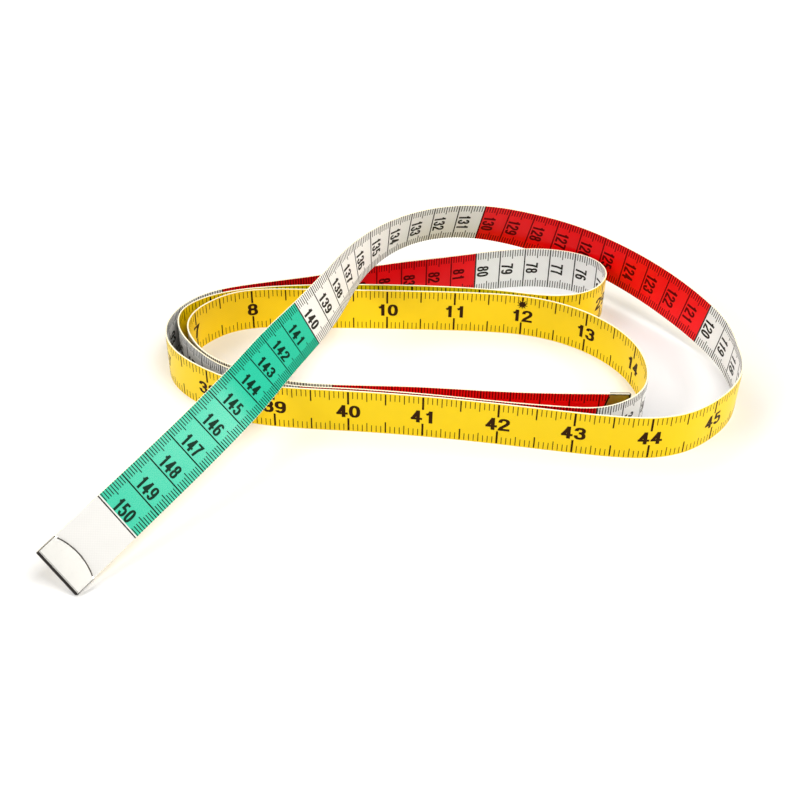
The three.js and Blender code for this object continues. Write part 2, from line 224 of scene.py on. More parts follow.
# Light and floor, in metres and watts. Each lamp faces the middle of the part.
LAMPS = [
    # name, place, width and height, power, colour
    ("top_right_softbox", (0.35, -0.35, 1.1), (0.5, 0.5), 8.7, (1, 0.99, 0.975)),
    ("right_softbox", (0.95, -0.35, 0.35), (0.4, 0.4), 4.8, (1, 0.95, 0.87)),
    ("right_spot", (0.83, -0.25, 0.68), (0.16, 0.16), 1.85, (1, 0.99, 0.97)),
    ("left_softbox", (-0.95, -0.45, 0.6), (0.6, 0.6), 8.6, (0.98, 0.99, 1)),
    ("back_softbox", (-0.5, 0.6, 0.9), (0.9, 0.7), 7.9, (1, 0.96, 0.9)),
]
WORLD_LIGHT = 0.06
OPAQUE_WHITE = (1, 1, 1, 1)
FLOOR_COLOUR = (0.79, 0.79, 0.79, 1)
FLOOR_HALF = 3.0
FLOOR_NEAR = 0.1  # from the middle, where the floor shows its shadows
FLOOR_FAR = 0.75  # from the middle, where it has faded to white
FLOOR_NEAR_GLOW = 0.06
FLOOR_FAR_GLOW = 1.0

# The strip's form


def spline_values(knots, values, at):
    """Natural cubic spline through the rows of values, read at the given places."""
    count = len(knots)
    gaps = np.diff(knots)
    matrix = np.eye(count)
    pulls = np.zeros_like(values)
    for i in range(1, count - 1):
        matrix[i, i - 1 : i + 2] = gaps[i - 1], 2 * (gaps[i - 1] + gaps[i]), gaps[i]
        steepening = (values[i + 1] - values[i]) / gaps[i] - (values[i] - values[i - 1]) / gaps[i - 1]
        pulls[i] = 6 * steepening
    bends = np.linalg.solve(matrix, pulls)
    i = np.clip(np.searchsorted(knots, at) - 1, 0, count - 2)
    span = gaps[i][:, None]
    a = (knots[i + 1] - at)[:, None] / span
    b = (at - knots[i])[:, None] / span
    swell = ((a**3 - a) * bends[i] + (b**3 - b) * bends[i + 1]) * span**2 / 6
    return a * values[i] + b * values[i + 1] + swell


def distances_along(points):
    steps = np.linalg.norm(np.diff(points, axis=0), axis=1)
    return np.concatenate([[0], np.cumsum(steps)])


def route_samples(scale):
    """Close samples (x, y, z, lean) of the route, its plan at this scale, and their distances along it."""
    rows = np.zeros((len(ROUTE), 4))
    for row, point in zip(rows, ROUTE):
        row[: len(point)] = point
    rows[:, :2] *= scale
    rows[:, 2] *= CROSSING_HEIGHT
    knots = distances_along(rows[:, :3])
    samples = spline_values(knots, rows, np.linspace(0, knots[-1], ROUTE_SAMPLES))
    lower_edge = np.maximum(0, samples[:, 2])
    samples[:, 2] = lower_edge + HALF_WIDTH * np.cos(np.radians(samples[:, 3]))
    return samples, distances_along(samples[:, :3])


plan_scale = 1.0
for _ in range(LENGTH_PASSES):
    plan_scale *= TAPE_LENGTH / route_samples(plan_scale)[1][-1]
SAMPLES, DISTANCES = route_samples(plan_scale)


def read_route(at, channels):
    return np.column_stack([np.interp(at, DISTANCES, SAMPLES[:, k]) for k in channels])


def unit(rows):
    return rows / np.linalg.norm(rows, axis=1)[:, None]


def sections(at):
    """Middle, way across and inch-face normal of the strip at places along it. Both ends run straight."""
    at = np.asarray(at, float)
    held = np.clip(at, STRAIGHT_END, TAPE_LENGTH - STRAIGHT_END)
    middle = read_route(held, (0, 1, 2))
    along = unit(read_route(held + TANGENT_STEP, (0, 1, 2)) - read_route(held - TANGENT_STEP, (0, 1, 2)))
    side = unit(np.cross(along, (0, 0, 1)))
    upright = np.cross(side, along)
    lean = np.radians(read_route(held, (3,)))
    across = np.cos(lean) * upright + np.sin(lean) * side
    return middle + along * (at - held)[:, None], across, np.cross(along, across)


def panel_node(number):
    return f"cm_panel_{number:02d}"


def place_of_part():
    """Move from the route's frame to the part's: one panel's box there against the box of its solid."""
    first = (PLACED_PANEL - 1) * PANEL_LENGTH
    at = np.linspace(first, first + PANEL_LENGTH, PANEL_RINGS + 1)
    at[0] += PANEL_SEAM / 2
    at[-1] -= PANEL_SEAM / 2
    middle, across, normal = sections(at)
    heights = (HALF_STACK, COAT_SEAT)
    corners = [middle + across * v - normal * h for v in (-HALF_WIDTH, HALF_WIDTH) for h in heights]
    points = np.concatenate(corners)
    low, high = (np.array(corner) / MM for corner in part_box(panel_node(PLACED_PANEL)))
    return (low - points.min(0) + high - points.max(0)) / 2


PART_SHIFT = place_of_part()
RINGS = np.arange(0, TAPE_LENGTH + 1)
RING_MIDDLE, RING_ACROSS, RING_NORMAL = sections(RINGS)
RING_MIDDLE += PART_SHIFT


def on_strip(u, v, h):
    """Points of the part, in metres, from their places along the strip, across it and over its middle."""
    u, v, h = (np.asarray(x, float) for x in (u, v, h))
    i = np.clip(u.astype(int), 0, TAPE_LENGTH - 1)
    share = (u - i)[:, None]
    middle, across, normal = (
        rows[i] * (1 - share) + rows[i + 1] * share for rows in (RING_MIDDLE, RING_ACROSS, RING_NORMAL)
    )
    return (middle + across * v[:, None] + normal * h[:, None]) * MM


# Camera


def make_camera():
    data = bpy.data.cameras.new("camera")
    data.sensor_width = SENSOR
    data.lens = SENSOR * FOCAL_PIXELS / IMAGE_PIXELS
    data.clip_start = 0.01
    data.clip_end = 50
    camera = bpy.data.objects.new("camera", data)
    bpy.context.scene.collection.objects.link(camera)
    ahead = Vector((0, math.cos(CAMERA_PITCH), -math.sin(CAMERA_PITCH)))
    level_right = Vector((1, 0, 0))
    level_up = Vector((0, math.sin(CAMERA_PITCH), math.cos(CAMERA_PITCH)))
    right = level_right * math.cos(CAMERA_ROLL) + level_up * math.sin(CAMERA_ROLL)
    up = level_up * math.cos(CAMERA_ROLL) - level_right * math.sin(CAMERA_ROLL)
    turn = Matrix((right, up, -ahead)).transposed().to_4x4()
    camera.matrix_world = Matrix.Translation((CAMERA_PLACE + PART_SHIFT) * MM) @ turn
    bpy.context.scene.camera = camera


# Materials


class Nodes:
    """A node tree with short ways to add and join nodes."""

    def __init__(self, tree):
        self.tree = tree

    def add(self, kind, **values):
        node = self.tree.nodes.new(kind)
        for key, value in values.items():
            setattr(node, key, value)
        return node

    def join(self, source, target):
        self.tree.links.new(source, target)

    def math(self, operation, *values):
        node = self.add("ShaderNodeMath", operation=operation)
        for socket, value in zip(node.inputs, values):
            if isinstance(value, (int, float)):
                socket.default_value = value
            else:
                self.join(value, socket)
        return node.outputs[0]

    def noise(self, vector, scale, detail):
        node = self.add("ShaderNodeTexNoise")
        node.inputs["Scale"].default_value = scale
        node.inputs["Detail"].default_value = detail
        self.join(vector, node.inputs["Vector"])
        return node.outputs["Fac"]

    def ramp(self, factor, low, high):
        """Factor from 0 to 1 turned into a value from low to high."""
        node = self.add("ShaderNodeMapRange")
        node.inputs["To Min"].default_value = low
        node.inputs["To Max"].default_value = high
        self.join(factor, node.inputs["Value"])
        return node.outputs[0]

    def blend_colour(self, factor, first, second):
        """A colour between two. The mix node's inputs 6 and 7 and its output 2 are the ones for colours."""
        node = self.add("ShaderNodeMix", data_type="RGBA")
        node.inputs[6].default_value = (*first, 1)
        node.inputs[7].default_value = (*second, 1)
        self.join(factor, node.inputs[0])
        return node.outputs[2]

    def shown(self):
        """1 where a ray shows things, straight, by gloss or through glass, and 0 where it lights them."""
        path = self.add("ShaderNodeLightPath")
        either = self.math("MAXIMUM", path.outputs["Is Camera Ray"], path.outputs["Is Glossy Ray"])
        return self.math("MAXIMUM", either, path.outputs["Is Transmission Ray"])


class MaterialNodes(Nodes):
    """The nodes of a new material, with its main shader."""

    def __init__(self, name):
        self.material = bpy.data.materials.new(name)
        self.material.use_nodes = True
        super().__init__(self.material.node_tree)
        self.shader = self.tree.nodes["Principled BSDF"]

    def bump(self, height, relief):
        depth, strength = relief
        node = self.add("ShaderNodeBump")
        node.inputs["Distance"].default_value = depth
        node.inputs["Strength"].default_value = strength
        self.join(height, node.inputs["Height"])
        self.join(node.outputs["Normal"], self.shader.inputs["Normal"])


def weave(nodes):
    """Height of a plain weave from 0 to 1, from the strip's own coordinates, and those coordinates."""
    strip = nodes.add("ShaderNodeUVMap", uv_map="strip").outputs["UV"]
    parts = nodes.add("ShaderNodeSeparateXYZ")
    nodes.join(strip, parts.inputs[0])
    turn = math.pi / THREAD_PITCH
    along = nodes.math("SINE", nodes.math("MULTIPLY", parts.outputs["X"], turn))
    across = nodes.math("SINE", nodes.math("MULTIPLY", parts.outputs["Y"], turn))
    checks = nodes.math("MULTIPLY", along, across)
    return nodes.math("MULTIPLY_ADD", checks, 0.5, 0.5), strip


def shade(colour, factor):
    return tuple(channel * factor for channel in colour)


def coat_material(name, colour, specular, roughness=0.32):
    """A thin plastic coat over woven cloth: the weave shows as a fine relief and a faint change of tone."""
    nodes = MaterialNodes(name)
    height, strip = weave(nodes)
    mottle = nodes.noise(strip, MOTTLE_SCALE, 4)
    grain = nodes.noise(strip, GRAIN_SCALE, 2)
    weave_tone = nodes.math("MULTIPLY", height, WEAVE_WEIGHT)
    mottle_tone = nodes.math("MULTIPLY", mottle, MOTTLE_WEIGHT)
    tone = nodes.math("ADD", weave_tone, mottle_tone)
    colours = nodes.blend_colour(tone, shade(colour, COAT_DARK), colour)
    nodes.join(colours, nodes.shader.inputs["Base Color"])
    grains = nodes.ramp(grain, roughness - GRAIN_SPREAD, roughness + GRAIN_SPREAD)
    nodes.join(grains, nodes.shader.inputs["Roughness"])
    nodes.shader.inputs["Specular IOR Level"].default_value = specular
    nodes.bump(height, WEAVE_RELIEF)
    return nodes.material


def edge_material():
    """The cut edge: cream threads between two coats."""
    nodes = MaterialNodes("cut_edge")
    height, strip = weave(nodes)
    fray = nodes.noise(strip, FRAY_SCALE, 4)
    colours = nodes.blend_colour(fray, (0.9, 0.8, 0.52), (0.97, 0.93, 0.78))
    nodes.join(colours, nodes.shader.inputs["Base Color"])
    nodes.shader.inputs["Roughness"].default_value = 0.7
    nodes.bump(height, EDGE_RELIEF)
    return nodes.material


def ink_material(name, colour):
    """Printing ink, darker where it is fresh and paler where it is worn."""
    nodes = MaterialNodes(name)
    height, strip = weave(nodes)
    wear = nodes.noise(strip, WEAR_SCALE, 4)
    colours = nodes.blend_colour(wear, shade(colour, INK_FRESH), shade(colour, INK_WORN))
    nodes.join(colours, nodes.shader.inputs["Base Color"])
    nodes.join(nodes.ramp(wear, 0.3, 0.42), nodes.shader.inputs["Roughness"])
    nodes.shader.inputs["Specular IOR Level"].default_value = 0.06
    nodes.bump(height, WEAVE_RELIEF)
    return nodes.material


def metal_material(name, colour, roughness):
    """Plated sheet metal, lightly brushed."""
    nodes = MaterialNodes(name)
    coordinates = nodes.add("ShaderNodeTexCoord").outputs["Object"]
    stretch = nodes.add("ShaderNodeMapping")
    stretch.inputs["Scale"].default_value = BRUSH_SCALE
    nodes.join(coordinates, stretch.inputs["Vector"])
    scratches = nodes.noise(stretch.outputs["Vector"], 1.0, 3)
    colours = nodes.blend_colour(scratches, shade(colour, METAL_DARK), colour)
    nodes.join(colours, nodes.shader.inputs["Base Color"])
    nodes.shader.inputs["Metallic"].default_value = 1.0
    brushing = nodes.ramp(scratches, roughness - 0.05, roughness + 0.08)
    nodes.join(brushing, nodes.shader.inputs["Roughness"])
    nodes.bump(scratches, BRUSH_RELIEF)
    return nodes.material


YELLOW, WHITE, RED, GREEN, SHADED_LEADER, EDGE = range(6)
coats = [
    coat_material("yellow_coat", (0.93, 0.64, 0.0), specular=0.22),
    coat_material("white_coat", (0.87, 0.86, 0.83), specular=0.3),
    coat_material("red_coat", (0.9, 0.0, 0.003), specular=0.28),
    coat_material("green_coat", (0.003, 0.515, 0.32), specular=0.46, roughness=0.28),
    # The leader's coat is a darker copy of the white coat: painted shade where the tape's end is lit most.
    coat_material("leader_painted_shade_coat", (0.76, 0.755, 0.735), specular=0.3),
    edge_material(),
]
# The thin ink lets a little of each coat through, in the order of the coats.
inks = [
    ink_material("ink_on_yellow", (0.03, 0.01, 0.0)),
    ink_material("ink_on_white", (0.034, 0.031, 0.026)),
    ink_material("ink_on_red", (0.1, 0.001, 0.001)),
    ink_material("ink_on_green", (0.001, 0.024, 0.012)),
    ink_material("ink_on_leader", (0.034, 0.031, 0.026)),
]
PLAIN_METAL, PAINTED_SHADE_METAL = range(2)
# The second metal is painted shade, a dark copy of the plate's metal for the fold, the arched edge and the
# cut sides.
metals = [
    metal_material("clip_metal", (0.54, 0.535, 0.51), 0.29),
    metal_material("clip_painted_shade", (0.035, 0.032, 0.03), 0.34),
]
PANEL_COATS = (RED, WHITE, GREEN, WHITE)


def centimetre_coat(u):
    """The coat of the centimetre face at a distance along the strip."""
    # From just before the last line on, the leader takes the white with painted shade.
    if u > LAST_LINE - LAST_COLOUR_GAP:
        return SHADED_LEADER
    return PANEL_COATS[int(u // PANEL_LENGTH) % len(PANEL_COATS)]


# Meshes


def mesh_object(name, points, faces, materials, face_materials=None, strip_places=None):
    """A mesh object from points in metres. strip_places, one (u, v) for each point, make its UV map."""
    mesh = bpy.data.meshes.new(name)
    mesh.from_pydata([tuple(point) for point in points], [], faces)
    for material in materials:
        mesh.materials.append(material)
    if face_materials is not None:
        mesh.polygons.foreach_set("material_index", np.asarray(face_materials, np.int32))
    if strip_places is not None:
        corners = np.empty(len(mesh.loops), np.int32)
        mesh.loops.foreach_get("vertex_index", corners)
        layer = mesh.uv_layers.new(name="strip")
        layer.data.foreach_set("uv", (np.asarray(strip_places, np.float32)[corners] / CENTIMETRE).ravel())
    mesh.validate()
    mesh.update()
    made = bpy.data.objects.new(name, mesh)
    bpy.context.scene.collection.objects.link(made)
    return made


def smooth(made, sharp_degrees):
    mesh = made.data
    mesh.polygons.foreach_set("use_smooth", np.ones(len(mesh.polygons), bool))
    mesh.set_sharp_from_angle(angle=math.radians(sharp_degrees))
    mesh.update()


def strip_section():
    """Points (across, height) round the strip's section, and what covers the side that starts at each."""
    flat = HALF_WIDTH - EDGE_ROUND
    side = HALF_STACK - EDGE_ROUND
    columns = [-flat, -flat / 2, 0, flat / 2, flat]
    points = [(v, -HALF_STACK) for v in columns]
    points += [(HALF_WIDTH, -side), (HALF_WIDTH, side)]
    points += [(v, HALF_STACK) for v in reversed(columns)]
    points += [(-HALF_WIDTH, side), (-HALF_WIDTH, -side)]
    covers = ["cm"] * 4 + ["edge"] * 3 + ["inch"] * 4 + ["edge"] * 3
    return points, covers


def tape_stretch(name, first, last):
    """One closed stretch of the strip, in its coats."""
    outline, covers = strip_section()
    size = len(outline)
    at = np.arange(first, last + 1.0)
    last_colour = LAST_LINE - LAST_COLOUR_GAP
    if first < last_colour < last:
        at = np.sort(np.append(at, last_colour))
    u = np.repeat(at, size)
    v = np.tile([p[0] for p in outline], len(at))
    h = np.tile([p[1] for p in outline], len(at))
    faces = [tuple(reversed(range(size)))]
    face_coats = [EDGE]
    for i in range(len(at) - 1):
        coat_of = {"cm": centimetre_coat((at[i] + at[i + 1]) / 2), "inch": YELLOW, "edge": EDGE}
        for p in range(size):
            q = (p + 1) % size
            faces.append((i * size + p, i * size + q, (i + 1) * size + q, (i + 1) * size + p))
            face_coats.append(coat_of[covers[p]])
    end = (len(at) - 1) * size
    faces.append(tuple(range(end, end + size)))
    face_coats.append(EDGE)
    made = mesh_object(name, on_strip(u, v, h), faces, coats, face_coats, np.column_stack([u, v]))
    smooth(made, TAPE_SHARP)
    return made


# Print


class Print:
    """Thin raised ink, gathered as prisms on the strip's faces, given by outlines in (along, across)."""

    def __init__(self):
        self.places = []
        self.heights = []
        self.faces = []
        self.face_coats = []

    def prism(self, flat, triangles, rim, face):
        """A prism over flat points. triangles and rim go anticlockwise, seen from the inch face's side."""
        top = HALF_STACK + INK_RISE
        bottom = HALF_STACK - INK_SINK
        low, high = (bottom, top) if face == "inch" else (-top, -bottom)
        base = len(self.heights)
        count = len(flat)
        self.places += [*flat, *flat]
        self.heights += [low] * count + [high] * count
        for triangle in triangles:
            self.faces.append(tuple(base + count + i for i in triangle))
            self.faces.append(tuple(base + i for i in reversed(triangle)))
        for a, b in rim:
            self.faces.append((base + a, base + b, base + count + b, base + count + a))
        coat = YELLOW if face == "inch" else centimetre_coat(flat[0][0])
        self.face_coats += [coat] * (len(self.faces) - len(self.face_coats))

    def mark(self, u, low, high, width, face):
        """A straight mark across the strip, from low to high."""
        left, right = u - width / 2, u + width / 2
        flat = [(left, low), (right, low), (right, high), (left, high)]
        self.prism(flat, [(0, 1, 2, 3)], [(0, 1), (1, 2), (2, 3), (3, 0)], face)

    def made(self, name):
        places = np.array(self.places)
        points = on_strip(places[:, 0], places[:, 1], self.heights)
        return mesh_object(name, points, self.faces, inks, self.face_coats, places)


def arc(middle_x, middle_y, radius_x, radius_y, from_degrees, to_degrees):
    """Points of a squarish elliptical arc."""
    steps = max(3, round(abs(to_degrees - from_degrees) / ARC_STEP))
    points = []
    for i in range(steps + 1):
        angle = math.radians(from_degrees + (to_degrees - from_degrees) * i / steps)
        x, y = math.cos(angle), math.sin(angle)
        x = math.copysign(abs(x) ** ARC_FULLNESS, x)
        y = math.copysign(abs(y) ** ARC_FULLNESS, y)
        points.append((middle_x + radius_x * x, middle_y + radius_y * y))
    return points


def digit_strokes(a, b, stroke):
    """Middle lines of each digit's strokes. a and b are half the width and height of the box they fill."""
    past = stroke / 2
    stem = 0.4 * a
    six_loop = arc(0, -0.42 * b, a, 0.58 * b, 180, -180)
    six_top = arc(0.05 * a, 0.5 * b, 0.9 * a, 0.5 * b, 15, 90)
    six_back = [*six_top, *arc(0, 0, a, b, 100, 180), (-a, -0.42 * b)]
    nine_loop = [(-x, -y) for x, y in six_loop]
    nine_back = [(-x, -y) for x, y in six_back]
    two_foot = [(0.55 * a, 0), (-0.75 * a, -0.66 * b), (-a, -b), (a + past, -b)]
    return {
        "0": [arc(0, 0, a, b, 0, 360)],
        "1": [[(stem, -b - past), (stem, b + past)], [(-0.75 * a, 0.52 * b), (0, 0.6 * b), (stem, b)]],
        "2": [[*arc(0, 0.5 * b, a, 0.5 * b, 190, -20), *two_foot]],
        "3": [
            [*arc(0, 0.54 * b, 0.93 * a, 0.46 * b, 185, -90), (-0.3 * a, 0.08 * b)],
            [(-0.3 * a, 0.08 * b), *arc(0, -0.46 * b, a, 0.54 * b, 90, -185)],
        ],
        "4": [
            [(stem, -b - past), (stem, b + past)],
            [(-a - past, -0.45 * b), (a + past, -0.45 * b)],
            [(-a, -0.45 * b), (stem, b)],
        ],
        "5": [
            [(0.88 * a, b), (-0.7 * a, b), (-0.9 * a, -0.02 * b)],
            [(-0.85 * a, 0.02 * b), *arc(0, -0.4 * b, a, 0.6 * b, 110, -170)],
        ],
        "6": [six_loop, six_back],
        "7": [[(-a - past, b), (a, b), (0.15 * a, 0.1 * b), (-0.35 * a, -b - past)]],
        "8": [arc(0, 0.53 * b, 0.9 * a, 0.47 * b, 0, 360), arc(0, -0.47 * b, a, 0.53 * b, 0, 360)],
        "9": [nine_loop, nine_back],
    }


def stroke_quads(line, stroke):
    """A line widened to a stroke: four-sided pieces with mitred joints."""
    points = [np.array(point) for point in line]
    closed = np.allclose(points[0], points[-1])
    ways = [(b - a) / np.linalg.norm(b - a) for a, b in zip(points, points[1:])]
    first_before, last_after = (ways[-1], ways[0]) if closed else (ways[0], ways[-1])
    sides = []
    for point, before, after in zip(points, [first_before, *ways], [*ways, last_after]):
        way = (before + after) / np.linalg.norm(before + after)
        across = np.array([-way[1], way[0]])
        mitre = 1 / max(1 / MITRE_LIMIT, float(way @ before))
        offset = across * (stroke / 2 * mitre)
        sides.append((point + offset, point - offset))
    return [(a[1], b[1], b[0], a[0]) for a, b in zip(sides, sides[1:])]


def joined_strokes(lines, style):
    """A digit as one flat mesh, from its overlapping strokes, stretched to give the stems their width."""
    widen = style.stem / style.bar
    corners = []
    quads = []
    for line in lines:
        for quad in stroke_quads(line, style.bar):
            quads.append(list(range(len(corners), len(corners) + len(quad))))
            corners += [Vector((x * widen, y)) for x, y in quad]
    points, _, faces, _, _, sources = delaunay_2d_cdt(corners, [], quads, 1, JOIN_DISTANCE)
    flat = bmesh.new()
    verts = [flat.verts.new((x, y, 0)) for x, y in points]
    for face, covering in zip(faces, sources):
        if covering:
            flat.faces.new([verts[i] for i in face])
    bmesh.ops.dissolve_limit(flat, angle_limit=FLAT_ANGLE, verts=flat.verts, edges=flat.edges)
    return flat


def cut_in_bands(flat, style):
    """Cuts a digit across the strip, then in triangles."""
    if style.along == "x":
        way, size = Vector((1, 0, 0)), style.width
    else:
        way, size = Vector((0, 1, 0)), style.height
    cuts = int(size / 2 / DIGIT_BAND)
    for k in range(-cuts, cuts + 1):
        parts = flat.verts[:] + flat.edges[:] + flat.faces[:]
        place = way * (k * DIGIT_BAND)
        bmesh.ops.bisect_plane(flat, geom=parts, plane_co=place, plane_no=way, dist=CUT_DISTANCE)
    bmesh.ops.triangulate(flat, faces=flat.faces)
    loose = [vert for vert in flat.verts if not vert.link_faces]
    bmesh.ops.delete(flat, geom=loose, context="VERTS")
    flat.verts.index_update()
    flat.normal_update()


def rim_of(triangles):
    """Edges that only one face uses, in that face's direction."""
    directed = {(face[i], face[(i + 1) % len(face)]) for face in triangles for i in range(len(face))}
    return [(a, b) for a, b in directed if (b, a) not in directed]


def digit_shapes(style):
    """Flat shapes of the ten digits, each centred: points, triangles and rim."""
    widen = style.stem / style.bar
    half_width = (style.width / widen - style.bar) / 2
    half_height = (style.height - style.bar) / 2
    shapes = {}
    for digit, lines in digit_strokes(half_width, half_height, style.bar).items():
        flat = joined_strokes(lines, style)
        cut_in_bands(flat, style)
        points = [(vert.co.x, vert.co.y) for vert in flat.verts]
        triangles = []
        for face in flat.faces:
            order = [vert.index for vert in face.verts]
            triangles.append(order if face.normal.z > 0 else order[::-1])
        flat.free()
        shapes[digit] = (points, triangles, rim_of(triangles))
    return shapes


DIGIT_SHAPES = {face: digit_shapes(style) for face, style in DIGIT_STYLES.items()}


def add_number(made, number, u, face):
    """A number. Centimetre numbers read from the upper edge down, inch numbers along the strip."""
    text = str(number)
    for k, digit in enumerate(text):
        points, triangles, rim = DIGIT_SHAPES[face][digit]
        shift = (k - (len(text) - 1) / 2) * DIGIT_STYLES[face].pitch
        if face == "cm":
            flat = [(u - y, -(x + shift)) for x, y in points]
            made.prism(flat, [t[::-1] for t in triangles], [(b, a) for a, b in rim], face)
        else:
            flat = [(u + x + shift, y) for x, y in points]
            made.prism(flat, triangles, rim, face)


def add_star(made, u):
    """The star that marks each foot."""
    middle_v = HALF_WIDTH - STAR_DROP
    count = 2 * STAR_POINTS
    flat = [(u, middle_v)]
    for k in range(count):
        radius = STAR_RADIUS if k % 2 == 0 else STAR_RADIUS * STAR_NOTCH
        angle = math.pi / 2 + math.pi * k / STAR_POINTS
        flat.append((u + radius * math.cos(angle), middle_v + radius * math.sin(angle)))
    triangles = [(0, 1 + k, 1 + (k + 1) % count) for k in range(count)]
    made.prism(flat, triangles, rim_of(triangles), "inch")


def centimetre_line_width(millimetre):
    if millimetre == LAST_LINE:
        return LAST_LINE_WIDTH
    return TEN_LINE if millimetre % PANEL_LENGTH == 0 else CM_LINE


def add_centimetre_scale(made, first, last):
    edge = HALF_WIDTH - MARK_INSET
    for millimetre in range(1, LAST_LINE + 1):
        if not first < millimetre <= last:
            continue
        if millimetre % CENTIMETRE == 0:
            made.mark(millimetre, -edge, edge, centimetre_line_width(millimetre), "cm")
            continue
        length, width = MM_TICK if millimetre % (CENTIMETRE // 2) else HALF_CM_TICK
        made.mark(millimetre, -edge, length - HALF_WIDTH, width, "cm")
        made.mark(millimetre, HALF_WIDTH - length, edge, width, "cm")
    for number in range(1, LAST_LINE // CENTIMETRE + 1):
        u = (number - 1 + CM_DIGIT_PLACE) * CENTIMETRE
        if first < u <= last:
            add_number(made, number, u, "cm")


def add_inch_scale(made, first, last):
    edge = HALF_WIDTH - INCH_INSET
    for k in range(1, int(TAPE_LENGTH / INCH * INCH_PARTS)):
        u = INCH_START + k * INCH / INCH_PARTS
        if not first < u <= last:
            continue
        share = next(share for share in sorted(INCH_TICKS) if k % (INCH_PARTS // share) == 0)
        length, width = INCH_TICKS[share]
        foot = k % (FOOT * INCH_PARTS) == 0
        made.mark(u, -edge, length + INCH_INSET - HALF_WIDTH, width, "inch")
        upper = STAR_DROP - STAR_RADIUS * STAR_TICK if foot else length + INCH_INSET
        made.mark(u, HALF_WIDTH - upper, edge, width, "inch")
        if share == 1:
            add_number(made, k // INCH_PARTS, u, "inch")
        if foot:
            add_star(made, u)


# The tape in its stretches, each with its print


class Stretch(NamedTuple):
    """A stretch of the tape, named for its main body. first and last are its ends along the strip.

    A stretch that crosses a flex line is fixed where it lies, on no body. bend gives both bodies and both
    places, which are not used; only whether bend is given is read.
    """

    name: str
    first: int
    last: int
    panels: range  # numbers of the printed panels that it stands for
    bend: tuple


STRETCHES = [
    Stretch("start", 0, 115, range(1, 2), ("start", "coil", 85, 115)),
    Stretch("coil", 115, 1285, range(2, 14), ()),
    Stretch("arch", 1285, 1385, range(14, 15), ("coil", "arch", 1285, 1315)),
    Stretch("tail", 1385, 1489, range(15, 16), ("arch", "tail", 1385, 1415)),
    Stretch("tip", 1489, TAPE_LENGTH, range(0), ("tail", "tip", 1489, 1511)),
]


def carry(piece, stretch):
    if not stretch.bend:
        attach(piece, stretch.name)
        return
    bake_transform(piece)


def make_tape():
    for stretch in STRETCHES:
        name, first, last = stretch.name, stretch.first, stretch.last
        tape = tape_stretch(f"tape_{name}", first, last)
        gathered = Print()
        add_centimetre_scale(gathered, first, last)
        add_inch_scale(gathered, first, last)
        marks = gathered.made(f"print_{name}")
        carry(tape, stretch)
        carry(marks, stretch)
        nodes = [f"cloth_{name}", f"inch_coat_{name}", *(panel_node(number) for number in stretch.panels)]
        if name == "tip":
            nodes.append("cm_leader")
        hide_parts(*nodes)


# End clips


def clip_reach(across):
    """How far the clip reaches over the tape: an arch, furthest in the middle."""
    radius = (HALF_WIDTH**2 + CLIP_CROWN**2) / (2 * CLIP_CROWN)
    return CLIP_DEPTH + CLIP_CROWN - radius + math.sqrt(radius**2 - across**2)


def clip_path(across):
    """The folded sheet's middle line over one place across the tape: points (inward, out of the face)."""
    reach = clip_reach(across)
    # A row of the plate at the inner edge of the painted shade line.
    inner = reach - CLIP_LINE
    bands = [CLIP_FOLD + band for band in reversed(CLIP_FOLD_BANDS)]
    upper = [(reach, CLIP_PLATE)]
    for i in range(CLIP_PLATE_STEPS):
        upper.append((inner + (bands[0] - inner) * i / CLIP_PLATE_STEPS, CLIP_PLATE))
    upper += [(band, CLIP_PLATE) for band in bands]
    bend = []
    for i in range(CLIP_BEND_STEPS + 1):
        angle = math.pi / 2 + math.pi * i / CLIP_BEND_STEPS
        bend.append((CLIP_FOLD + CLIP_PLATE * math.cos(angle), CLIP_PLATE * math.sin(angle)))
    lower = [(x, -z) for x, z in reversed(upper)]
    return [*upper, *bend, *lower]


def clip_sheet(name):
    """The middle surface of a clip's folded sheet, with its corners drawn in at the fold."""
    points = []
    for j in range(CLIP_COLUMNS + 1):
        across = HALF_WIDTH * math.sin(math.pi / 2 * (2 * j / CLIP_COLUMNS - 1))
        near_side = abs(across / HALF_WIDTH) ** CLIP_CORNER_POWER
        path = clip_path(across)
        fold_end = min(x for x, _ in path)
        for x, z in path:
            near_fold = max(0.0, 1 - (x - fold_end) / CLIP_CORNER)
            drawn_in = CLIP_CORNER * (1 - math.sqrt(1 - near_fold**2)) * near_side
            points.append((x, across - math.copysign(drawn_in, across), z))
    length = len(points) // (CLIP_COLUMNS + 1)
    faces = []
    for j in range(CLIP_COLUMNS):
        for i in range(length - 1):
            a = j * length + i
            faces.append((a, a + 1, a + length + 1, a + length))
    return mesh_object(name, np.array(points) * MM, faces, metals)


def thicken(made):
    """Gives a sheet its thickness and rounds its edges."""
    sheet = made.modifiers.new("sheet", "SOLIDIFY")
    sheet.thickness = CLIP_SHEET * MM
    sheet.offset = 0
    sheet.use_even_offset = True
    rounding = made.modifiers.new("rounding", "BEVEL")
    rounding.width = CLIP_ROUNDING * MM
    rounding.segments = 2
    rounding.limit_method = "ANGLE"
    rounding.angle_limit = math.radians(CLIP_ROUNDED)
    graph = bpy.context.evaluated_depsgraph_get()
    solid = bpy.data.meshes.new_from_object(made.evaluated_get(graph))
    made.modifiers.clear()
    made.data = solid
    solid.name = made.name


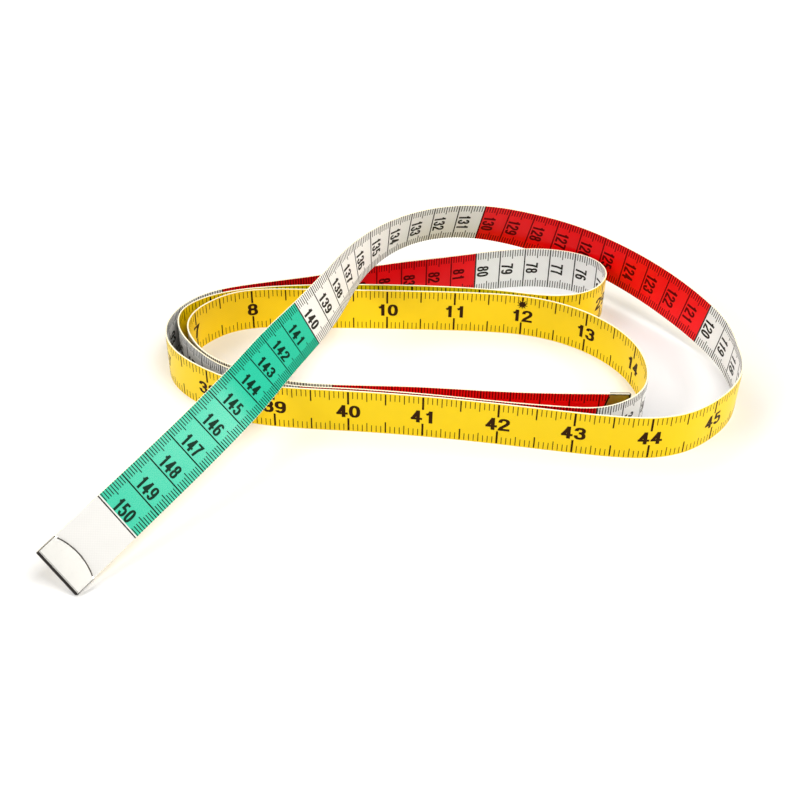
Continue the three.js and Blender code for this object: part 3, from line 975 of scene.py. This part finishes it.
def paint_clip(solid):
    """Painted shade: dark metal on the outside of the fold, on the arched edge and on the cut sides."""
    shade_band, light_line, shade_line = CLIP_FOLD_BANDS
    for face in solid.polygons:
        x, y, _ = face.center / MM
        across = min(abs(y), HALF_WIDTH)
        from_fold = x - CLIP_FOLD
        painted_fold_shade = from_fold < shade_band or light_line < from_fold < shade_line
        painted_rim_shade = x > clip_reach(across) - CLIP_LINE and across < HALF_WIDTH - CLIP_LINE_END
        painted_side_shade = abs(y) > HALF_WIDTH - CLIP_SIDE_LINE
        face.material_index = PAINTED_SHADE_METAL if painted_fold_shade or painted_rim_shade or painted_side_shade else PLAIN_METAL


def clip_piece(name, distance, inward):
    """A clip on the end at this distance along the tape. inward is 1 at the zero end, -1 at the far end."""
    made = clip_sheet(name)
    thicken(made)
    paint_clip(made.data)
    smooth(made, CLIP_SHARP)
    middle, across, normal = (rows[0] for rows in sections([distance]))
    along = np.cross(across, normal) * inward
    turn = Matrix((along, across, normal * inward)).transposed().to_4x4()
    made.data.transform(Matrix.Translation((middle + PART_SHIFT) * MM) @ turn)
    return made


def make_clips():
    ends = [("start_clip", "start", 0, 1), ("end_clip", "tip", TAPE_LENGTH, -1)]
    for node, body, distance, inward in ends:
        clip = clip_piece(f"folded_{node}", distance, inward)
        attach(clip, body)
        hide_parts(node)


# Floor, light and background


def floor_material():
    """A pale floor that shows shadows near the tape and fades to white far from it."""
    nodes = MaterialNodes("pale_floor")
    nodes.shader.inputs["Base Color"].default_value = FLOOR_COLOUR
    nodes.shader.inputs["Roughness"].default_value = 0.9
    nodes.shader.inputs["Specular IOR Level"].default_value = 0.1
    distance = nodes.add("ShaderNodeVectorMath", operation="LENGTH")
    nodes.join(nodes.add("ShaderNodeTexCoord").outputs["Object"], distance.inputs[0])
    spread = nodes.add("ShaderNodeMapRange", interpolation_type="SMOOTHSTEP")
    spread.inputs["From Min"].default_value = FLOOR_NEAR
    spread.inputs["From Max"].default_value = FLOOR_FAR
    spread.inputs["To Min"].default_value = FLOOR_NEAR_GLOW
    spread.inputs["To Max"].default_value = FLOOR_FAR_GLOW
    nodes.join(distance.outputs["Value"], spread.inputs["Value"])
    glow = nodes.add("ShaderNodeEmission")
    glow.inputs["Color"].default_value = OPAQUE_WHITE
    nodes.join(nodes.math("MULTIPLY", nodes.shown(), spread.outputs[0]), glow.inputs["Strength"])
    both = nodes.add("ShaderNodeAddShader")
    nodes.join(nodes.shader.outputs[0], both.inputs[0])
    nodes.join(glow.outputs[0], both.inputs[1])
    nodes.join(both.outputs[0], nodes.tree.nodes["Material Output"].inputs["Surface"])
    return nodes.material


def make_floor():
    left, right = -FLOOR_HALF, FLOOR_HALF
    corners = [(left, left, 0), (right, left, 0), (right, right, 0), (left, right, 0)]
    mesh_object("floor", corners, [(0, 1, 2, 3)], [floor_material()])


def make_lamps():
    for name, place, size, watts, colour in LAMPS:
        data = bpy.data.lights.new(name, "AREA")
        data.shape = "RECTANGLE"
        data.size, data.size_y = size
        data.energy = watts
        data.color = colour
        lamp = bpy.data.objects.new(name, data)
        bpy.context.scene.collection.objects.link(lamp)
        lamp.location = place
        lamp.rotation_euler = (-Vector(place)).to_track_quat("-Z", "Y").to_euler()


def make_world():
    """A faint even light, and a white background that shows but doesn't light."""
    world = bpy.data.worlds.new("studio")
    bpy.context.scene.world = world
    world.use_nodes = True
    nodes = Nodes(world.node_tree)
    light = nodes.tree.nodes["Background"]
    backdrop = nodes.add("ShaderNodeBackground")
    for background, strength in ((light, WORLD_LIGHT), (backdrop, 1.0)):
        background.inputs["Color"].default_value = OPAQUE_WHITE
        background.inputs["Strength"].default_value = strength
    mix = nodes.add("ShaderNodeMixShader")
    nodes.join(nodes.shown(), mix.inputs[0])
    nodes.join(light.outputs[0], mix.inputs[1])
    nodes.join(backdrop.outputs[0], mix.inputs[2])
    nodes.join(mix.outputs[0], nodes.tree.nodes["World Output"].inputs["Surface"])


make_camera()
make_tape()
make_clips()
make_floor()
make_lamps()
make_world()
bpy.context.scene.view_settings.view_transform = "Standard"
